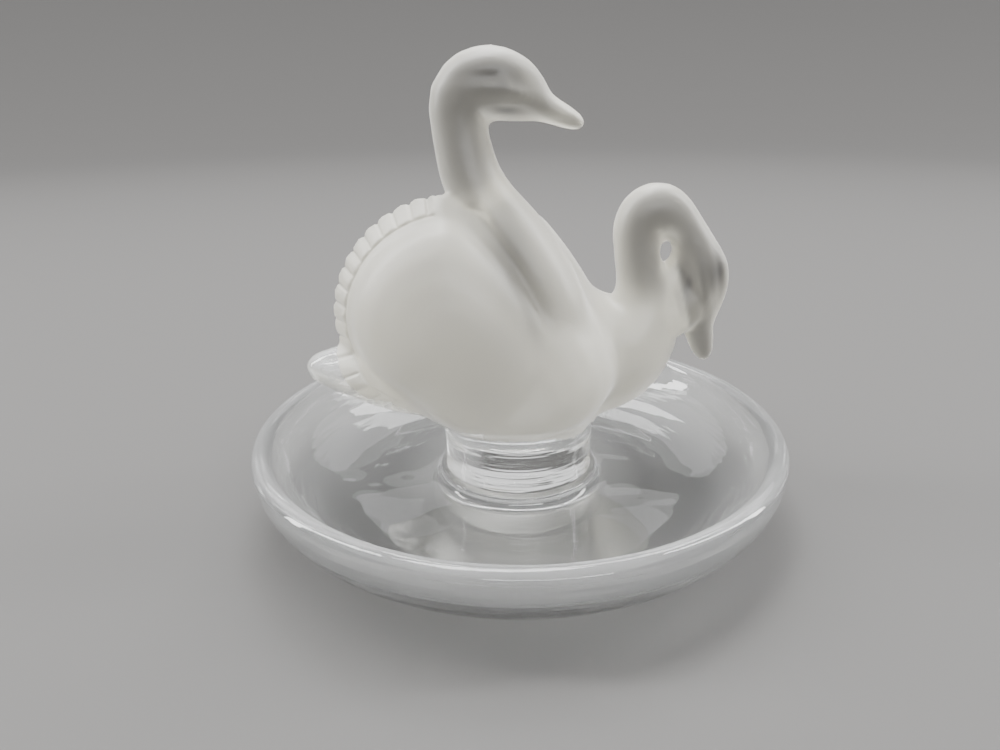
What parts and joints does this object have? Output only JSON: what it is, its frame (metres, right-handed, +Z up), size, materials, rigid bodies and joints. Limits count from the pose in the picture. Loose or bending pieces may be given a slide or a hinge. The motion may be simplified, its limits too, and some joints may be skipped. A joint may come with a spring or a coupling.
{
  "type": "crystal swan pair sculpture on a ring dish",
  "caption": "Two satin crystal swans side by side, one upright and one bowed, on a short clear stem in the middle of a shallow round clear dish for rings and pins.",
  "frame": {"origin": "middle of the dish's underside, on the surface it stands on", "axes": "+X the way both swans head, +Y from the upright swan to the bowed one, +Z up"},
  "size_m": [0.1, 0.1, 0.0833],
  "materials": {
    "satin_crystal": "acid-etched satin on the swans, polished clear on the stem and the tails",
    "clear_crystal": "fire-polished clear"
  },
  "bodies": {
    "root": {"swan_pair": "satin_crystal", "dish": "clear_crystal"}
  },
  "joints": []
}
